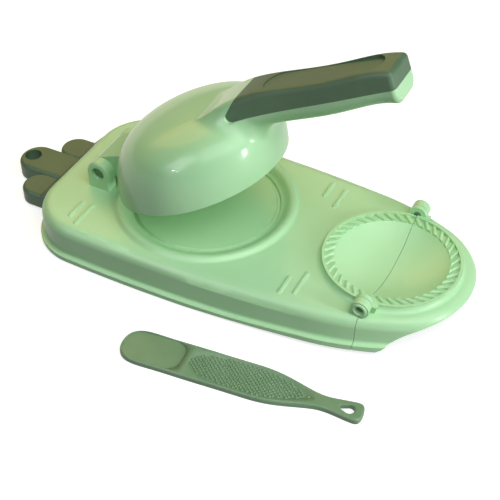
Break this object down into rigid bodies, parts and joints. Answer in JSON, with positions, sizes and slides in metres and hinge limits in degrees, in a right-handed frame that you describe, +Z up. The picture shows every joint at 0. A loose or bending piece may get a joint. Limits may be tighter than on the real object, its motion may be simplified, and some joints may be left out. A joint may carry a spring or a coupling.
{
  "type": "dumpling maker",
  "caption": "Hand dumpling maker: hinged dome press over a round dish for flattening dough, folding half-bowl mould with crimping ribs, leaf-shaped side handle and a filling spoon.",
  "frame": {"origin": "centre of the flat face of the press platform, 23.9 mm above the table", "axes": "+X along the length towards the folding mould, +Y to the far side away from the spoon, +Z up"},
  "size_m": [0.325, 0.1932, 0.1631],
  "materials": {
    "light_green_plastic": "smooth moulded, soft gloss",
    "olive_plastic": "smooth moulded, satin",
    "sage_plastic": "smooth moulded with a grained panel",
    "pin_plastic": "plain moulded",
    "screw_steel": "plated",
    "foot_rubber": "plain"
  },
  "bodies": {
    "base": {"base_shell": "light_green_plastic", "leaf_handle": "olive_plastic", "leaf_screws": "screw_steel", "press_hinge_pin_front": "pin_plastic", "press_hinge_pin_back": "pin_plastic", "mold_hinge_pin_front": "pin_plastic", "mold_hinge_pin_back": "pin_plastic", "rubber_foot_1": "foot_rubber", "rubber_foot_2": "foot_rubber", "rubber_foot_3": "foot_rubber", "rubber_foot_4": "foot_rubber"},
    "press": {"press_shell": "light_green_plastic", "press_plate": "light_green_plastic", "grip_cover": "olive_plastic", "grip_screws": "screw_steel"},
    "folding_half": {"flip_mold": "light_green_plastic"},
    "spoon": {"filling_spoon": "sage_plastic"}
  },
  "joints": [
    {"name": "press_hinge", "type": "hinge", "parent": "base", "child": "press", "pos_m": [-0.0675, 0, 0.0135], "axis": [0, -1, 0], "range_deg": [-21.65, 70]},
    {"name": "mold_hinge", "type": "hinge", "parent": "base", "child": "folding_half", "pos_m": [0.1274, 0, 0.0064], "axis": [0, -1, 0], "range_deg": [0, 180]},
    {"name": "spoon_lift", "type": "slide", "parent": "base", "child": "spoon", "axis": [0, 0, 1], "range_m": [0, 0.12]}
  ]
}
